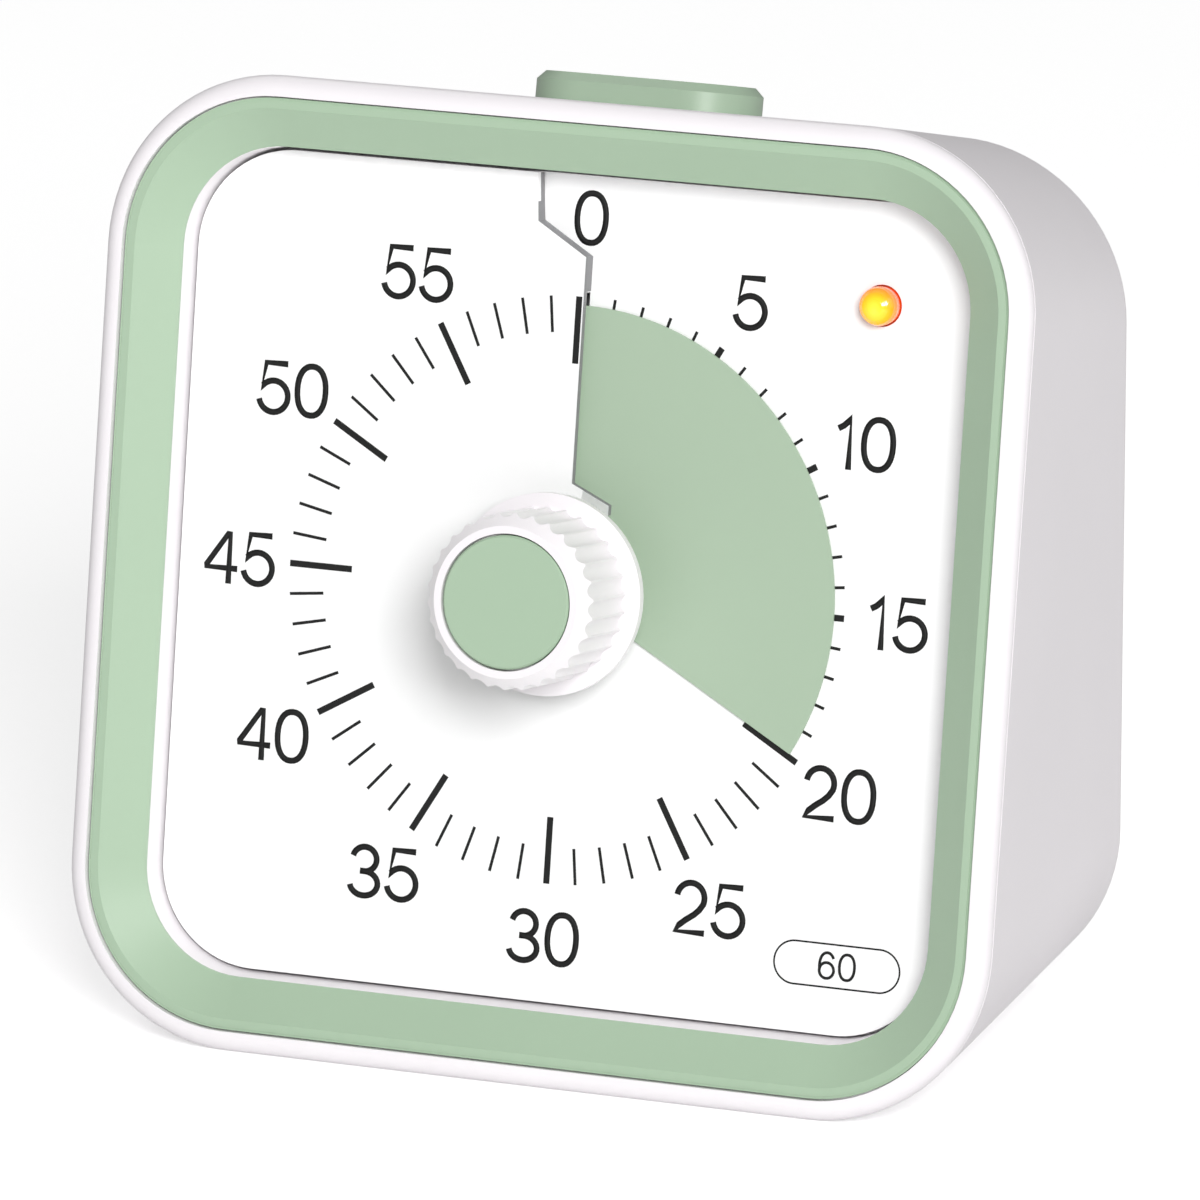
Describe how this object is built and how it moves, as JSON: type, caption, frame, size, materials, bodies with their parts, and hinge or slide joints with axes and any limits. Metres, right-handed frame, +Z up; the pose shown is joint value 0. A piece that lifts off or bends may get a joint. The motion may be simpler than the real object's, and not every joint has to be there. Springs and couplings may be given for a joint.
{
  "type": "visual countdown timer",
  "caption": "Desk countdown timer with a leaning square face, numbered dial, fluted setting knob, sliding time disc, top button and battery case.",
  "frame": {"origin": "on the ground plane, under the middle of the bounding box", "axes": "+X to the timer's right seen from the front, +Y to the rear, +Z up"},
  "size_m": [0.08, 0.046, 0.0788],
  "materials": {
    "white_shell": "fine satin moulding",
    "white_dial": "smooth satin",
    "white_knob": "satin",
    "green_trim": "fine satin moulding",
    "green_film": "satin film",
    "green_button": "fine satin moulding",
    "bright_steel": "ground",
    "spring_steel": "drawn wire and sheet",
    "zinc_screw": "zinc plated",
    "wheel_plastic": "natural acetal",
    "rotor_magnet": "sintered",
    "stator_steel": "stamped",
    "grey_plastic": "moulded",
    "copper_wire": "enamelled wire",
    "circuit_board": "solder mask",
    "black_plastic": "moulded",
    "contact_nickel": "nickel plated",
    "cell_wrap": "plain printed sleeve",
    "amber_lens": "clear amber",
    "tinned_wire": "tinned",
    "brass_bush": "turned",
    "dark_plunger": "moulded"
  },
  "bodies": {
    "case": {"front_frame": "white_shell", "bezel_ring": "green_trim", "dial_plate": "white_dial", "movement_plate": "grey_plastic", "shaft_bush": "brass_bush", "movement_cover": "grey_plastic", "stator": "stator_steel", "coil_core": "stator_steel", "coil_spool": "grey_plastic", "coil_winding": "copper_wire", "rear_housing": "white_shell", "button_switch": "black_plastic", "button_board": "circuit_board", "button_board_screws": "zinc_screw", "upper_cell": "cell_wrap", "lower_cell": "cell_wrap", "bridge_contact": "contact_nickel", "end_contacts": "contact_nickel", "contact_springs": "contact_nickel", "sounder": "black_plastic", "sound_switch": "black_plastic", "main_board": "circuit_board", "board_washers": "grey_plastic", "board_screws": "zinc_screw", "control_chip": "black_plastic", "clock_crystal": "tinned_wire", "driver_chip": "black_plastic", "indicator_light": "amber_lens", "light_legs": "tinned_wire", "case_screws": "zinc_screw"},
    "knob_group": {"knob": "white_knob", "knob_cap": "green_trim", "knob_shaft": "bright_steel", "clutch_spring": "spring_steel", "shaft_clip": "spring_steel"},
    "disc": {"time_disc": "green_film"},
    "centre_gear": {"centre_wheel": "wheel_plastic"},
    "second_gear": {"second_wheel": "wheel_plastic"},
    "first_gear": {"first_wheel": "wheel_plastic"},
    "rotor": {"rotor_pinion": "wheel_plastic", "rotor_magnet": "rotor_magnet"},
    "button": {"top_button": "green_button", "switch_plunger": "dark_plunger"},
    "slider": {"sound_slider": "grey_plastic"},
    "door": {"battery_door": "white_shell"}
  },
  "joints": [
    {"name": "knob_turn", "type": "hinge", "parent": "case", "child": "knob_group", "pos_m": [0, -0.00897, 0.03866], "axis": [0, 0.9848, -0.1736], "range_deg": [-120, 240]},
    {"name": "disc_climb", "type": "slide", "parent": "knob_group", "child": "disc", "axis": [0, -0.9848, 0.1736], "range_m": [-0.0005, 0.001]},
    {"name": "rotor_turn", "type": "hinge", "parent": "case", "child": "rotor", "pos_m": [-0.01617, 0.00391, 0.03682], "axis": [0, 0.9848, -0.1736], "continuous": true},
    {"name": "first_wheel_turn", "type": "hinge", "parent": "case", "child": "first_gear", "pos_m": [-0.01617, 0.00513, 0.04371], "axis": [0, 0.9848, -0.1736], "continuous": true},
    {"name": "second_wheel_turn", "type": "hinge", "parent": "case", "child": "second_gear", "pos_m": [-0.00743, 0.00365, 0.04398], "axis": [0, 0.9848, -0.1736], "continuous": true},
    {"name": "centre_wheel_turn", "type": "hinge", "parent": "case", "child": "centre_gear", "pos_m": [0, 0.00019, 0.03705], "axis": [0, 0.9848, -0.1736], "continuous": true},
    {"name": "button_press", "type": "slide", "parent": "case", "child": "button", "axis": [0, -0.2467, -0.9691], "range_m": [0, 0.0008], "stiffness_N_per_m": 500},
    {"name": "sound_slide", "type": "slide", "parent": "case", "child": "slider", "axis": [1, 0, 0], "range_m": [-0.002, 0.002]},
    {"name": "door_release", "type": "slide", "parent": "case", "child": "door", "axis": [0, 1, 0], "range_m": [0, 0.02]}
  ],
  "couplings": [
    {"joint": "disc_climb", "follows": "knob_turn", "m_per_rad": 0.00023873},
    {"joint": "first_wheel_turn", "follows": "rotor_turn", "ratio": -0.16667},
    {"joint": "second_wheel_turn", "follows": "rotor_turn", "ratio": 0.027778},
    {"joint": "centre_wheel_turn", "follows": "rotor_turn", "ratio": -0.0046296}
  ]
}
